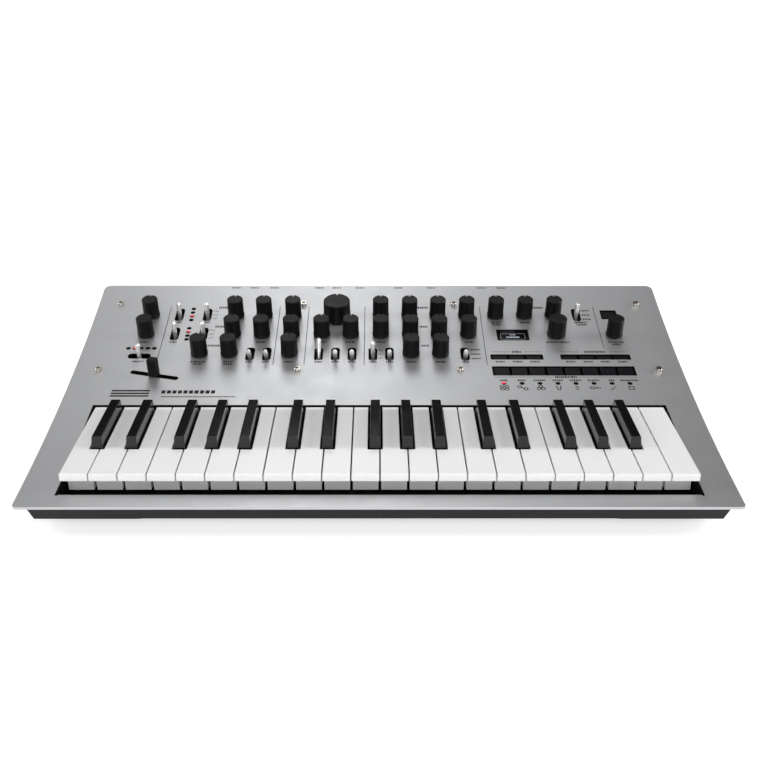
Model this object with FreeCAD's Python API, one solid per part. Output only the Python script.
import FreeCAD, Part
import os
from math import sin, cos, tan, asin, radians, degrees
from FreeCAD import Vector as V, Rotation, Placement

# Desktop polyphonic synthesizer.  Millimetres, +X right, +Y towards the rear, +Z up, table at Z = 0.
# "back" is always the plan distance behind the front edge of the top panel.

# ---- overall size and the shape of the top panel --------------------------------------------
WIDTH, DEPTH = 500.0, 300.0
FRONT_Y = -DEPTH / 2
PANEL_T = 2.0                      # aluminium sheet
FRONT_Z = 24.0                     # front top edge above the table
FRONT_SLOPE = 4.6                  # degrees, flat strip in front of the keys
FLAT_RUN = 20.0                    # length of that flat strip
CURVE_R = 1400.0                   # concave sweep behind it
CORNER_FRONT, CORNER_REAR = 3.0, 5.5
UNDER = -(PANEL_T + 0.1)           # offset of everything that fits up against the sheet

# ---- controls -------------------------------------------------------------------------------
TILT = 12.5                        # every control axis leans this far towards the player
BOARD_REF, BOARD_DEPTH, BOARD_T = 212.0, 13.0, 1.6
ROW_A, ROW_B, ROW_C = 255.0, 227.0, 199.5
PIVOT_DEPTH = 8.3                  # lever pivots below the panel skin
THROW = 27.0                       # lever throw either side of upright

# ---- keyboard -------------------------------------------------------------------------------
KEY_CX = 0.6                       # the keybed sits a little right of centre
OPEN_HALF, OPEN_FRONT, OPEN_REAR = 224.7, 14.3, 128.7
PITCH, KEY_W = 20.27, 19.25
WHITE_Z, LIP, KEY_FRONT, KEY_END = 37.5, 5.6, 21.5, 127.2
NOTCH_FRONT, NOTCH_W = 57.6, 10.9
SKIRT_BACK, SKIRT_W, KEY_BOTTOM = 37.5, 18.3, 15.6
NECK_TOP, KEY_REAR = 33.0, 151.0
PIVOT_BACK, PIVOT_Z, ROD_R, ROD_GAP = 146.0, 26.0, 1.5, 0.08
BLACK_Z, BLACK_FRONT, BLACK_END = 46.0, 59.7, 123.6
BLACK_BASE_W, BLACK_TOP_W, BLACK_RAKE = 8.4, 7.1, 1.9
BLACK_SHIFT = {1: -2.3, 2: 2.5, 4: -3.4, 5: -0.1, 6: 3.3}   # from the n-th white gap of an octave

# ---- case -----------------------------------------------------------------------------------
CASE_T, CASE_END, CASE_FLOOR = 2.2, 283.0, 3.5
CASE_SIDE = [(230.0, 3.5), (239.8, 7.6), (244.3, 22.2), (244.3, 95.0)]
CASE_NOSE = [(30.0, 3.5), (11.3, 7.6), (6.8, 22.2), (6.8, 95.0)]
WOOD_T, WOOD_BOTTOM, WOOD_HALF = 9.0, 5.0, 243.8
MAIN_Z, MAIN_T = 22.0, 1.6
KEYBED_Z = 5.9

PANEL_SCREWS = [(x, b) for b in (271.0, 176.0) for x in (-230.0, -67.0, 67.0, 230.0)]
MAIN_SCREWS = [(x, b) for b in (171.0, 273.0) for x in (-190.0, 0.0, 190.0)]
REAR_SCREWS = [(x, z) for x in (-234.0, 234.0) for z in (22.0, 58.0)]

KNOBS = [  # node, x, row, size
    ("knob_master_volume", -200.0, ROW_A, "small"), ("knob_tempo", -200.0, ROW_B, "small"),
    ("knob_osc1_pitch", -125.5, ROW_A, "small"), ("knob_osc1_shape", -100.5, ROW_A, "small"),
    ("knob_osc2_pitch", -125.5, ROW_B, "small"), ("knob_osc2_shape", -100.5, ROW_B, "small"),
    ("knob_cross_mod", -150.6, ROW_C, "small"), ("knob_pitch_mod", -125.5, ROW_C, "small"),
    ("knob_mixer_osc1", -75.0, ROW_A, "small"), ("knob_mixer_osc2", -75.0, ROW_B, "small"),
    ("knob_mixer_noise", -75.0, ROW_C, "small"), ("knob_filter_cutoff", -36.5, 252.0, "large"),
    ("knob_filter_resonance", -49.0, ROW_B, "small"), ("knob_filter_mod", -24.0, ROW_B, "small"),
    ("knob_amp_attack", 1.8, ROW_A, "small"), ("knob_amp_decay", 27.1, ROW_A, "small"),
    ("knob_amp_sustain", 51.8, ROW_A, "small"), ("knob_amp_release", 77.1, ROW_A, "small"),
    ("knob_mod_attack", 1.8, ROW_B, "small"), ("knob_mod_decay", 27.1, ROW_B, "small"),
    ("knob_mod_sustain", 51.8, ROW_B, "small"), ("knob_mod_release", 77.1, ROW_B, "small"),
    ("knob_lfo_rate", 27.1, ROW_C, "small"), ("knob_lfo_depth", 51.8, ROW_C, "small"),
    ("knob_delay_hipass", 102.8, ROW_A, "small"), ("knob_delay_time", 128.3, ROW_A, "small"),
    ("knob_delay_feedback", 153.5, ROW_A, "small"), ("knob_voice_depth", 202.8, ROW_B, "small"),
    ("knob_program", 153.0, ROW_B, "middle"),
]
KNOB_SIZE = {  # base radius, top radius, height
    "small": (7.2, 6.8, 17.7), "middle": (8.0, 7.7, 17.7), "large": (12.0, 11.4, 18.3),
}

LEVERS = {  # node: (direction, tilt at rest, [(x, back)])
    "levers_osc1": ("depth", 0.0, [(-175.5, 256.4), (-151.0, 256.4)]),
    "levers_osc2": ("depth", 0.0, [(-175.5, 228.4), (-151.0, 228.4)]),
    "levers_lower_row": ("depth", THROW, [(x, ROW_C) for x in (-108.0, -94.0, -36.4, -22.4, 9.0, 72.5)]),
    "lever_filter_slope": ("depth", -THROW, [(-50.5, ROW_C)]),
    "lever_lfo_wave": ("depth", 0.0, [(-4.9, ROW_C)]),
    "lever_output_routing": ("depth", 0.0, [(174.5, 256.4)]),
    "lever_keyboard_octave": ("across", 0.0, [(-200.6, 196.6)]),
}
SLOT_L, SLOT_W = 19.0, 7.4
SLIDER = (-183.3, 169.6, -13.7)    # centre x, back, turn of the slot in degrees
SLIDER_L, SLIDER_W = 41.7, 5.0

STRIPS = {  # name: centre x, back, buttons, pitch, cap width, cap depth
    "edit": (115.7, 195.5, 3, 14.4, 12.8, 5.4),
    "sequencer": (181.6, 195.5, 4, 14.4, 12.8, 5.4),
    "function": (152.4, 175.8, 8, 14.6, 13.0, 11.0),
    "shift": (203.5, 256.8, 1, 12.4, 11.9, 11.4),
}
CAP_TOP = -0.5                     # button tops, just below the panel skin
DISPLAY = (115.5, 227.2, 27.6, 16.2)
LED_R, LENS_R = 2.05, 1.75           # hole in the panel, lens
LEDS = ([(x, 207.7) for x in (-211.8, -206.3, -200.8, -195.3, -189.8)]
        + [(-164.5, b) for b in (265.2, 259.8, 254.3, 248.9, 236.8, 231.5, 226.1, 220.7)]
        + [(101.2 + 14.57 * i, 158.4) for i in range(8)])

SOCKETS = [  # kind, x, z of the axis
    ("jack", -130.0, 31.0), ("jack", -113.0, 31.0), ("jack", -95.0, 31.0),
    ("mini", -54.0, 31.0), ("mini", -38.0, 31.0), ("din", -17.0, 33.0), ("din", 18.0, 33.0),
    ("usb", 48.0, 30.0), ("dc", 112.0, 30.0),
]
POWER_X, POWER_Z = 94.0, 30.0


# ---- helpers --------------------------------------------------------------------------------
def slope(back):
    return asin(sin(radians(FRONT_SLOPE)) + max(0.0, back - FLAT_RUN) / CURVE_R)


def panel_z(back):
    start = radians(FRONT_SLOPE)
    return FRONT_Z + tan(start) * min(back, FLAT_RUN) + CURVE_R * (cos(start) - cos(slope(back)))


def skin(back, offset=0.0):
    """Point of the panel surface, moved out along its own normal."""
    a = slope(back)
    return V(0, FRONT_Y + back - offset * sin(a), panel_z(back) + offset * cos(a))


def skin_edges(b0, b1, offset):
    edges = []
    if b0 < FLAT_RUN:
        edges.append(Part.makeLine(skin(b0, offset), skin(FLAT_RUN, offset)))
        b0 = FLAT_RUN
    edges.append(Part.Arc(skin(b0, offset), skin((b0 + b1) / 2, offset), skin(b1, offset)).toShape())
    return edges


def slab(b0, b1, low, high, x0, x1):
    """Solid between two offsets of the panel surface."""
    ends = [Part.makeLine(skin(b, low), skin(b, high)) for b in (b0, b1)]
    edges = skin_edges(b0, b1, low) + skin_edges(b0, b1, high) + ends
    face = Part.Face(Part.Wire(Part.__sortEdges__(edges)))
    face.translate(V(x0, 0, 0))
    return face.extrude(V(x1 - x0, 0, 0))


def above(offset):
    return slab(-20, DEPTH + 20, offset, 120, -WIDTH, WIDTH)


def box(x0, x1, b0, b1, z0, z1):
    return Part.makeBox(x1 - x0, b1 - b0, z1 - z0, V(x0, FRONT_Y + b0, z0))


def disc(r, z0, z1, x=0.0, y=0.0):
    return Part.makeCylinder(r, z1 - z0, V(x, y, z0))


def rounded_box(lx, ly, z0, z1, r):
    solid = Part.makeBox(lx, ly, z1 - z0, V(-lx / 2, -ly / 2, z0))
    upright = [e for e in solid.Edges if abs(e.tangentAt(e.FirstParameter).z) > 0.99]
    return solid.makeFillet(r, upright)


def prism(points, plane, start, length, inset=0.0):
    """Extruded polygon; plane "yz" takes (back, z) pairs, plane "xz" takes (x, z) pairs."""
    if plane == "yz":
        pts, path = [V(start, FRONT_Y + b, z) for b, z in points], V(length, 0, 0)
    else:
        pts, path = [V(x, FRONT_Y + start, z) for x, z in points], V(0, length, 0)
    face = Part.Face(Part.makePolygon(pts + pts[:1]))
    return (face.makeOffset2D(-inset, 2) if inset else face).extrude(path)


def turned(profile):
    """Solid of revolution about Z from (r, z) pairs."""
    pts = [V(r, 0, z) for r, z in profile]
    return Part.Face(Part.makePolygon(pts + pts[:1])).revolve(V(0, 0, 0), V(0, 0, 1), 360)


def seat(shape, x, back, tilt=TILT, turn=0.0):
    """Move a shape modelled about the origin (Z out of the panel) onto the panel."""
    spot = Placement(V(x, FRONT_Y + back, panel_z(back)), Rotation(V(1, 0, 0), tilt))
    moved = shape.copy()
    moved.Placement = spot.multiply(Placement(V(), Rotation(V(0, 0, 1), turn))).multiply(moved.Placement)
    return moved


def board_depth(back):
    """Depth of the control board's top face below the panel, along a control axis."""
    n = V(0, -sin(radians(TILT)), cos(radians(TILT)))
    ref = V(0, FRONT_Y + BOARD_REF, panel_z(BOARD_REF)) - n * BOARD_DEPTH
    return (V(0, FRONT_Y + back, panel_z(back)) - ref).dot(n)


def fuse(shapes):
    return shapes[0].multiFuse(shapes[1:]).removeSplitter() if len(shapes) > 1 else shapes[0]


def rear_turned(profile, x, z):
    """Revolved (r, back) profile about an axis running to the rear."""
    solid = turned(profile)
    solid.Placement = Placement(V(x, FRONT_Y, z), Rotation(V(1, 0, 0), -90)).multiply(solid.Placement)
    return solid


def rear_disc(r, b0, b1, x, z):
    """Cylinder about an axis running to the rear, between two distances behind the front."""
    return rear_turned([(0, b0), (r, b0), (r, b1), (0, b1)], x, z)


def all_levers():
    return [(x, b, way) for way, _, spots in LEVERS.values() for x, b in spots]


def strip_slot(name):
    x, b, count, pitch, cap_w, cap_d = STRIPS[name]
    return x, b, count * pitch - (pitch - cap_w) + 2.6, cap_d + 2.2


# ---- top panel ------------------------------------------------------------------------------
def make_top_panel():
    plan = box(-WIDTH / 2, WIDTH / 2, 0, DEPTH, -50, 150)
    for front, r in ((True, CORNER_FRONT), (False, CORNER_REAR)):
        edges = [e for e in plan.Edges if abs(e.tangentAt(e.FirstParameter).z) > 0.99
                 and (e.CenterOfMass.y < 0) == front and abs(abs(e.CenterOfMass.x) - WIDTH / 2) < 0.01]
        plan = plan.makeFillet(r, edges)
    sheet = slab(-4, DEPTH + 4, -PANEL_T, 0, -WIDTH, WIDTH).common(plan)
    left, right = KEY_CX - OPEN_HALF, KEY_CX + OPEN_HALF
    cuts = [box(left, right, OPEN_FRONT, OPEN_REAR, 0, 90)]
    cuts += [disc(1.2, 0, 60, x, FRONT_Y + OPEN_FRONT + 0.2) for x in (left + 1.2, right - 1.2)]
    cuts += [seat(disc(3.8, -8, 8), x, b) for _, x, b, _ in KNOBS]
    for x, b, way in all_levers():
        size = (SLOT_W, SLOT_L) if way == "depth" else (SLOT_L, SLOT_W)
        cuts.append(seat(rounded_box(size[0], size[1], -8, 8, 3.3), x, b))
    x, b, turn = SLIDER
    cuts.append(seat(rounded_box(SLIDER_L, SLIDER_W, -8, 8, SLIDER_W / 2 - 0.1), x, b, turn=turn))
    x, b, w, d = DISPLAY
    cuts.append(seat(rounded_box(w, d, -8, 8, 0.8), x, b))
    for name in STRIPS:
        x, b, w, d = strip_slot(name)
        cuts.append(seat(rounded_box(w, d, -8, 8, 0.8), x, b))
    cuts += [seat(disc(LED_R, -8, 8), x, b) for x, b in LEDS]
    cuts += [seat(disc(1.7, -8, 8), x, b, degrees(slope(b))) for x, b in PANEL_SCREWS]
    return sheet.cut(cuts)


# ---- bottom case, wood rear, feet, screws ----------------------------------------------------
def case_hull(wall):
    """Outside of the case, or with a wall thickness its inside."""
    nose = prism(CASE_NOSE + [(330.0, 95.0), (330.0, CASE_FLOOR)], "yz", -WIDTH, 2 * WIDTH, wall)
    side = prism([(-x, z) for x, z in reversed(CASE_SIDE)] + CASE_SIDE, "xz", -20.0, 400.0, wall)
    return nose.common(side).cut([above(UNDER), box(-WIDTH, WIDTH, CASE_END, 400, -10, 120)])


def make_bottom_case():
    shell = case_hull(0).cut(case_hull(CASE_T))
    adds = [disc(4.0, CASE_FLOOR, 90, x, FRONT_Y + b) for x, b in PANEL_SCREWS]
    adds += [disc(3.5, CASE_FLOOR, MAIN_Z, x, FRONT_Y + b) for x, b in MAIN_SCREWS]
    for side in (-1, 1):                                     # blocks that take the rear screws
        x0, x1 = sorted((side * 228.0, side * 243.0))
        adds.append(box(x0, x1, CASE_END - 11, CASE_END, 12, 64))
    adds += [box(x - 1, x + 1, 165, 281, CASE_FLOOR, 14) for x in (-130, -67, 67, 130)]   # floor ribs
    shell = shell.multiFuse(adds).common(case_hull(0))
    slant = tan(radians(18.0))
    ramp = [(-172, 0), (-164, 1.2), (164, 1.2), (172, 0), (172, -8), (-172, -8)]
    nose = Part.Face(Part.makePolygon([V(x, FRONT_Y + 6.8 - slant * 20 + b + slant * 39.9, 0)
                                       for x, b in ramp + ramp[:1]]))
    cuts = [above(UNDER), nose.extrude(V(0, -slant * 45, 45))]
    cuts += [seat(disc(1.55, -14, 2), x, b, degrees(slope(b))) for x, b in PANEL_SCREWS]
    cuts += [disc(1.55, MAIN_Z - 9, MAIN_Z + 1, x, FRONT_Y + b) for x, b in MAIN_SCREWS]
    cuts += [rear_disc(1.55, 272.5, 290, x, z) for x, z in REAR_SCREWS]
    return shell.cut(cuts).removeSplitter()


def make_rear_panel():
    board = box(-WOOD_HALF, WOOD_HALF, CASE_END, CASE_END + WOOD_T, WOOD_BOTTOM, 90).cut(above(UNDER))
    cuts = [rear_disc(1.7, 270, 310, x, z) for x, z in REAR_SCREWS]
    hole = {"jack": 6.1, "mini": 4.2, "din": 8.2, "dc": 5.6}
    for kind, x, z in SOCKETS:
        if kind == "usb":
            cuts.append(box(x - 6.6, x + 6.6, 270, 310, z - 6.8, z + 6.1))
        else:
            cuts.append(rear_disc(hole[kind], 270, 310, x, z))
    cuts.append(rear_disc(5.0, 270, 310, POWER_X, POWER_Z))
    return board.cut(cuts)


def screw(length=9.0):
    head = turned([(0, 0), (2.75, 0), (2.75, 2.7), (2.45, 3.0), (0, 3.0)])
    socket = Part.Face(Part.makePolygon([Rotation(V(0, 0, 1), 60 * i).multVec(V(1.7, 0, 0.8))
                                         for i in range(7)])).extrude(V(0, 0, 3))
    return head.cut(socket).fuse(disc(1.5, -length, 0)).removeSplitter()


def make_screws():
    solids = [seat(screw(), x, b, degrees(slope(b))) for x, b in PANEL_SCREWS]
    for x, b in MAIN_SCREWS:
        s = screw(7.0)
        s.translate(V(x, FRONT_Y + b, MAIN_Z + MAIN_T))
        solids.append(s)
    for x, z in REAR_SCREWS:
        s = screw(16.0)
        s.Placement = Placement(V(x, FRONT_Y + CASE_END + WOOD_T, z), Rotation(V(1, 0, 0), -90))
        solids.append(s)
    return Part.makeCompound(solids)


def make_feet():
    foot = turned([(0, 0), (7.5, 0), (9, 1.2), (9, CASE_FLOOR), (0, CASE_FLOOR)])
    feet = []
    for x in (-205.0, 205.0):
        for b in (46.0, 262.0):
            f = foot.copy()
            f.translate(V(x, FRONT_Y + b, 0))
            feet.append(f)
    return Part.makeCompound(feet)


# ---- keyboard -------------------------------------------------------------------------------
def gap_x(i):
    """Centre of the gap on the left of white key i (0 to 22)."""
    return KEY_CX + (i - 11) * PITCH


def black_x(i):
    """Centre of the black key on white gap i, or None."""
    shift = BLACK_SHIFT.get(i % 7)
    return None if shift is None or not 0 < i < 22 else gap_x(i) + shift


def pivot_hole():
    return Part.makeCylinder(ROD_R + ROD_GAP, 2 * WIDTH,
                             V(-WIDTH, FRONT_Y + PIVOT_BACK, PIVOT_Z), V(1, 0, 0))


def tail_limits(i):
    """Left and right faces of white key i where it runs between the black keys."""
    left, right = gap_x(i) + (PITCH - KEY_W) / 2, gap_x(i + 1) - (PITCH - KEY_W) / 2
    if black_x(i) is not None:
        left = black_x(i) + NOTCH_W / 2
    if black_x(i + 1) is not None:
        right = black_x(i + 1) - NOTCH_W / 2
    return left, right


def white_key(i):
    centre = gap_x(i) + PITCH / 2
    x0, x1 = centre - KEY_W / 2, centre + KEY_W / 2
    t0, t1 = tail_limits(i)
    top = box(x0, x1, KEY_FRONT, NOTCH_FRONT, WHITE_Z - 3, WHITE_Z)
    top = top.fuse(box(t0, t1, NOTCH_FRONT - 1, KEY_END, WHITE_Z - 3, WHITE_Z))
    lip = box(x0, x1, KEY_FRONT, KEY_FRONT + 2, WHITE_Z - LIP, WHITE_Z - 2)
    s0, s1 = centre - SKIRT_W / 2, centre + SKIRT_W / 2
    n0, n1 = max(t0 + 0.4, s0), min(t1 - 0.4, s1)
    body = box(s0, s1, SKIRT_BACK, NOTCH_FRONT - 1, KEY_BOTTOM, WHITE_Z - 3)
    body = body.fuse(box(n0, n1, NOTCH_FRONT - 2.5, KEY_END - 1, KEY_BOTTOM, WHITE_Z - 3))
    body = body.fuse(box(n0, n1, KEY_END - 3, KEY_REAR, KEY_BOTTOM + 2, NECK_TOP))
    hollow = box(s0 + 1.2, s1 - 1.2, SKIRT_BACK + 1.2, NOTCH_FRONT - 2.2, 0, WHITE_Z - 3)
    hollow = hollow.fuse(box(n0 + 1.2, n1 - 1.2, NOTCH_FRONT - 4, KEY_REAR - 1.5, 0, NECK_TOP - 1.5))
    key = fuse([top, lip, body]).cut([hollow, pivot_hole()])
    rim = [e for e in key.Edges if abs(e.CenterOfMass.z - WHITE_Z) < 0.01 and e.Length > 8]
    return key.makeFillet(0.45, rim)


def black_key(i):
    x, half, top = black_x(i), BLACK_BASE_W / 2, BLACK_TOP_W / 2
    sides = prism([(x - half, NECK_TOP), (x + half, NECK_TOP), (x + half, WHITE_Z - 0.5),
                   (x + top, BLACK_Z), (x - top, BLACK_Z), (x - half, WHITE_Z - 0.5)], "xz", 50, 90)
    nose = prism([(BLACK_FRONT, NECK_TOP), (BLACK_FRONT, WHITE_Z), (BLACK_FRONT + BLACK_RAKE, BLACK_Z),
                  (BLACK_END, BLACK_Z), (BLACK_END + 0.6, NECK_TOP)], "yz", -WIDTH, 2 * WIDTH)
    head = sides.common(nose)
    long_edges = [e for e in head.Edges if abs(e.CenterOfMass.z - BLACK_Z) < 0.01 and e.Length > 4]
    head = head.makeFillet(0.6, long_edges)
    body = box(x - half, x + half, BLACK_FRONT, KEY_REAR, KEY_BOTTOM + 2, NECK_TOP + 0.5)
    hollow = box(x - half + 1.2, x + half - 1.2, BLACK_FRONT + 1.5, KEY_REAR - 1.5, 0, NECK_TOP - 1.5)
    return fuse([head, body]).cut([hollow, pivot_hole()])


def make_keys():
    nodes = {}
    for octave in range(3):
        last = 22 if octave == 2 else 7 * octave + 7
        whites = [white_key(i) for i in range(7 * octave, last)]
        blacks = [black_key(i) for i in range(7 * octave, 7 * octave + 7) if black_x(i) is not None]
        nodes["white_keys_%d" % (octave + 1)] = Part.makeCompound(whites)
        nodes["black_keys_%d" % (octave + 1)] = Part.makeCompound(blacks)
    return nodes


def make_key_frame():
    left, right = KEY_CX - OPEN_HALF, KEY_CX + OPEN_HALF
    frame = [box(left - 2.5, right + 2.5, 56, 156, KEYBED_Z, KEYBED_Z + 1.2),
             box(left - 2.5, right + 2.5, 152.5, 156, KEYBED_Z, 24)]
    trim_out, trim_in = 0.3, 1.1                              # dark edging inside the opening
    for sign, edge in ((1, left), (-1, right)):
        a, c = sorted((edge - sign * 2.5, edge + sign * trim_in))
        cheek = slab(22, 156, -70, UNDER - 0.2, a, c).common(case_hull(CASE_T + 0.3))
        a, c = sorted((edge + sign * trim_out, edge + sign * trim_in))
        frame += [cheek, slab(OPEN_FRONT + 0.5, OPEN_REAR - 0.3, -8, -0.2, a, c)]
    rear = slab(120, 140, -70, -0.2, left + trim_out, right - trim_out)
    frame.append(rear.common(box(left + trim_out, right - trim_out, OPEN_REAR - 0.9, OPEN_REAR - 0.3,
                                 NECK_TOP + 1, 60)))
    rod = Part.makeCylinder(ROD_R, right - left + 3, V(left - 1.5, FRONT_Y + PIVOT_BACK, PIVOT_Z), V(1, 0, 0))
    return Part.makeCompound([fuse(frame).cut(rod), rod])


def make_contact_board():
    z = KEYBED_Z + 1.2
    board = box(-214, 215, 92, 122, z, z + 1.6)
    centres = [(sum(tail_limits(i)) / 2, 101.0) for i in range(22)]
    centres += [(black_x(i), 112.0) for i in range(1, 22) if black_x(i) is not None]
    domes = []
    for x, b in centres:
        dome = turned([(0, z + 1.5), (3.2, z + 1.5), (2.6, z + 3.2), (0, z + 3.2)])
        dome.translate(V(x, FRONT_Y + b, 0))
        domes.append(dome)
    return fuse([board] + domes)


# ---- boards and the parts on them ------------------------------------------------------------
def board_plate(x0, x1, b0, b1):
    c = cos(radians(TILT))
    plate = Part.makeBox(x1 - x0, (b1 - b0) / c, BOARD_T,
                         V(x0, (b0 - BOARD_REF) / c, -BOARD_DEPTH - BOARD_T))
    return seat(plate, 0, BOARD_REF)


def make_control_board():
    board = board_plate(-222, 222, 157, 279)
    board = board.cut([disc(4.4, 0, 90, x, FRONT_Y + b) for x, b in PANEL_SCREWS if abs(x) < 100])
    parts = []
    for name, (x, b, count, pitch, cap_w, cap_d) in STRIPS.items():
        depth = board_depth(b)
        for i in range(count):
            body = rounded_box(6, min(6, cap_d), -depth - 0.1, -depth + 3.2, 0.3).fuse(
                disc(1.6, -depth + 3, -depth + 4.2))
            parts.append(seat(body, x + (i - (count - 1) / 2) * pitch, b))
    for x in (-160, -30, 40, 130):                           # ribbon connectors on the underside
        c = rounded_box(26, 6, -BOARD_DEPTH - BOARD_T - 3.5, -BOARD_DEPTH - BOARD_T + 0.1, 0.5)
        parts.append(seat(c, x, BOARD_REF))
    return fuse([board] + parts)


def knob_pot(back):
    depth, bush = board_depth(back), 3.4
    body = rounded_box(11, 12, -depth, -depth + 6.5, 0.8).fuse(disc(bush, -depth + 6, -0.6))
    return body.cut(disc(3.06, -depth + 1.2, 1))


def lever_switch(back, way):
    depth = board_depth(back)
    size = (9, 13) if way == "depth" else (13, 9)
    body = rounded_box(size[0], size[1], -depth, -4.4, 0.6)
    drum = Part.makeCylinder(2.56, 4.4, V(-2.2, 0, -PIVOT_DEPTH), V(1, 0, 0))
    throat = Part.Face(Part.makePolygon([V(-2.2, -2.4, -PIVOT_DEPTH + 1), V(-2.2, 2.4, -PIVOT_DEPTH + 1),
                                         V(-2.2, 5.2, -4), V(-2.2, -5.2, -4),
                                         V(-2.2, -2.4, -PIVOT_DEPTH + 1)])).extrude(V(4.4, 0, 0))
    cavity = drum.fuse(throat)
    if way == "across":
        cavity.rotate(V(0, 0, 0), V(0, 0, 1), 90)
    return body.cut(cavity)


def make_potentiometers():
    parts = [seat(knob_pot(b), x, b) for _, x, b, _ in KNOBS]
    parts += [seat(lever_switch(b, way), x, b) for x, b, way in all_levers()]
    x, b, turn = SLIDER
    depth = board_depth(b)
    rail = rounded_box(56, 9, -depth, -4.4, 0.8).cut(rounded_box(42, 4.6, -depth + 1.2, 0, 0.5))
    parts.append(seat(rail, x, b, turn=turn))
    return Part.makeCompound(parts)


def make_main_board():
    z = MAIN_Z + MAIN_T
    board = box(-200, 200, 162, 281, MAIN_Z, z)
    board = board.cut([disc(4.6, 0, 90, x, FRONT_Y + b) for x, b in PANEL_SCREWS if abs(x) < 100]
                      + [disc(1.7, 0, 90, x, FRONT_Y + b) for x, b in MAIN_SCREWS])
    chips = [(-150, 205, 14, 14), (-110, 205, 14, 14), (-150, 235, 14, 10), (-110, 235, 14, 10),
             (-20, 212, 24, 24), (32, 212, 16, 10), (32, 232, 16, 10), (90, 205, 20, 14), (150, 205, 14, 14)]
    parts = [box(x - w / 2, x + w / 2, b - d / 2, b + d / 2, z - 0.1, z + 1.8) for x, b, w, d in chips]
    parts += [disc(4.0, z - 0.1, z + 9.0, x, FRONT_Y + 255) for x in (130, 142, 154, 166, -160, -172)]
    parts += [box(x - 13, x + 13, 180, 186, z - 0.1, z + 3.6) for x in (-160, -30, 40, 130)]
    return fuse([board] + parts)


def make_display():
    x, b, w, d = DISPLAY
    depth = board_depth(b)
    glass = rounded_box(w - 0.6, d - 0.6, -4.0, -0.5, 0.6)
    module = rounded_box(w + 8, d + 7, -depth, -3.9, 0.8)
    return seat(fuse([module, glass]), x, b)


def make_leds():
    parts = []
    for x, b in LEDS:
        depth = board_depth(b)
        lens = turned([(0, -depth), (LENS_R, -depth), (LENS_R, -0.6), (0.8 * LENS_R, -0.2),
                       (0.4 * LENS_R, 0.05), (0, 0.1)])
        parts.append(seat(lens, x, b))
    return Part.makeCompound(parts)


def make_sockets():
    top, rear = MAIN_Z + MAIN_T, CASE_END + WOOD_T
    face, inner = CASE_END - 0.2, CASE_END - 2
    parts = []
    for kind, x, z in SOCKETS:
        if kind == "jack":
            body = box(x - 7.8, x + 7.8, face - 26, face, top, z + 7.6)
            body = body.fuse(rear_disc(5.8, inner, rear, x, z))
            body = body.cut(rear_disc(3.3, rear - 32, rear + 1, x, z))
        elif kind == "mini":
            body = box(x - 5, x + 5, face - 14, face, top, z + 5.5)
            body = body.fuse(rear_disc(3.9, inner, rear, x, z))
            body = body.cut(rear_disc(1.85, rear - 20, rear + 1, x, z))
        elif kind == "din":
            body = box(x - 9.5, x + 9.5, face - 16, face, top, z + 9.4)
            body = body.fuse(rear_disc(7.9, inner, rear, x, z))
            pins = [rear_disc(0.8, rear - 14, rear - 7, x + 4.0 * cos(radians(a)), z + 4.0 * sin(radians(a)))
                    for a in (0, 45, 90, 135, 180)]
            body = body.cut([rear_disc(6.8, rear - 8, rear + 1, x, z)] + pins)
        elif kind == "usb":
            body = box(x - 6.2, x + 6.2, face - 16, rear, top, z + 5.7)
            body = body.cut(box(x - 4.3, x + 4.3, rear - 12, rear + 1, z - 4.0, z + 4.0))
            body = body.fuse(box(x - 2.9, x + 2.9, rear - 12.5, rear - 3, z - 1.6, z + 1.6))
        else:
            body = box(x - 5.2, x + 5.2, face - 14, face, top, z + 6.0)
            body = body.fuse(rear_disc(5.3, inner, rear, x, z))
            body = body.cut(rear_disc(3.0, rear - 10, rear + 1, x, z))
            parts.append(rear_disc(1.0, rear - 10, rear - 1, x, z))
        parts.append(body.removeSplitter())
    switch = box(POWER_X - 6, POWER_X + 6, face - 16, face - 4, top, POWER_Z + 6)
    parts.append(switch.cut(rear_disc(2.6, face - 12, face + 1, POWER_X, POWER_Z)))
    return Part.makeCompound(parts)


# ---- moving controls -------------------------------------------------------------------------
def knob(size, back, endless=False):
    base, top, height = KNOB_SIZE[size]
    cap = turned([(0, 0.9), (base - 0.3, 0.9), (base, 1.2), (base, 2.6), (base - 0.25, 3.0),
                  (top, height - 0.6), (top - 0.6, height), (0, height)])
    cap = cap.cut(disc(3.0, 0, height - 3.0))
    if not endless:                                          # pointer groove, square to the rear
        cap = cap.cut(Part.makeBox(1.3, top, 3.0, V(-0.65, top * 0.45, height - 0.7)))
        cap = cap.cut(Part.makeBox(1.3, 3.0, height, V(-0.65, top - 1.5, height - 4.5)))
    shaft = disc(3.0, -board_depth(back) + 1.6, height - 3.0)
    return Part.makeCompound([cap, shaft])


def lever(way, lean):
    arm = turned([(0, 0), (1.6, 0), (1.7, 9), (1.95, 16.5), (2.0, 18.6), (1.85, 19.7),
                  (1.4, 20.4), (0, 20.6)])
    stick = Part.makeCylinder(2.5, 4.0, V(-2.0, 0, 0), V(1, 0, 0)).fuse(arm)
    stick.rotate(V(0, 0, 0), V(1, 0, 0), lean)
    if way == "across":
        stick.rotate(V(0, 0, 0), V(0, 0, 1), 90)
    stick.translate(V(0, 0, -PIVOT_DEPTH))
    return stick


def make_slider():
    x, b, turn = SLIDER
    depth = board_depth(b)
    cap = rounded_box(8.6, 7.4, 0.8, 16.6, 2.4)
    crown = [e for e in cap.Edges if abs(e.CenterOfMass.z - 16.6) < 0.01]
    cap = cap.makeFillet(1.6, crown)
    stem = rounded_box(5.0, 2.2, -depth + 2.0, 1.2, 0.6)
    return seat(fuse([cap, stem]), x, b, turn=turn)


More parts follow.
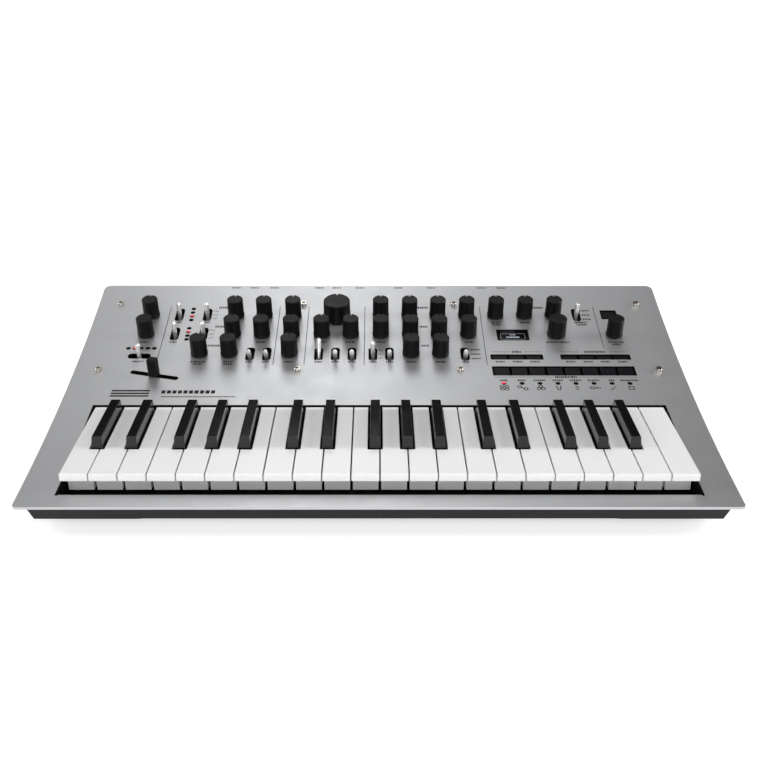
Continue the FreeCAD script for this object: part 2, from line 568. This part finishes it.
def strip_buttons(names):
    solids = []
    for name in names:
        x, b, count, pitch, cap_w, cap_d = STRIPS[name]
        depth = board_depth(b)
        cap = rounded_box(cap_w, cap_d, -3.9, CAP_TOP, 0.7)
        rim = [e for e in cap.Edges if abs(e.CenterOfMass.z - CAP_TOP) < 0.01]
        cap = cap.makeFillet(0.6, rim).fuse(disc(1.8, -depth + 5.2, -3.7)).removeSplitter()
        solids += [seat(cap, x + (i - (count - 1) / 2) * pitch, b) for i in range(count)]
    return Part.makeCompound(solids)


def make_power_button():
    rear = CASE_END + WOOD_T
    return rear_turned([(0, CASE_END - 6), (2.5, CASE_END - 6), (2.5, CASE_END - 2), (4.6, CASE_END - 2),
                        (4.6, rear + 2.5), (4.1, rear + 3.0), (0, rear + 3.0)], POWER_X, POWER_Z)


# ---- all nodes -------------------------------------------------------------------------------
def build():
    nodes = {
        "top_panel": make_top_panel(), "bottom_case": make_bottom_case(), "rear_panel": make_rear_panel(),
        "housing_screws": make_screws(), "rubber_feet": make_feet(), "key_frame": make_key_frame(),
        "key_contact_board": make_contact_board(), "control_board": make_control_board(),
        "potentiometers": make_potentiometers(), "main_board": make_main_board(),
        "display_module": make_display(), "led_lenses": make_leds(), "rear_sockets": make_sockets(),
        "pitch_slider": make_slider(), "power_button": make_power_button(),
        "upper_strip_buttons": strip_buttons(["edit", "sequencer"]),
        "function_buttons": strip_buttons(["function"]), "shift_button": strip_buttons(["shift"]),
    }
    nodes.update(make_keys())
    for name, (way, lean, spots) in LEVERS.items():
        nodes[name] = Part.makeCompound([seat(lever(way, lean), x, b) for x, b in spots])
    for name, x, b, size in KNOBS:
        nodes[name] = seat(knob(size, b, name == "knob_program"), x, b)
    return nodes


os.makedirs("parts", exist_ok=True)
for node, shape in build().items():
    shape.exportStep("parts/%s.step" % node)
    bounds = shape.BoundBox
    print("%-24s solids %3d valid %s  x %.1f..%.1f y %.1f..%.1f z %.1f..%.1f" % (
        node, len(shape.Solids), shape.isValid(), bounds.XMin, bounds.XMax, bounds.YMin, bounds.YMax,
        bounds.ZMin, bounds.ZMax))
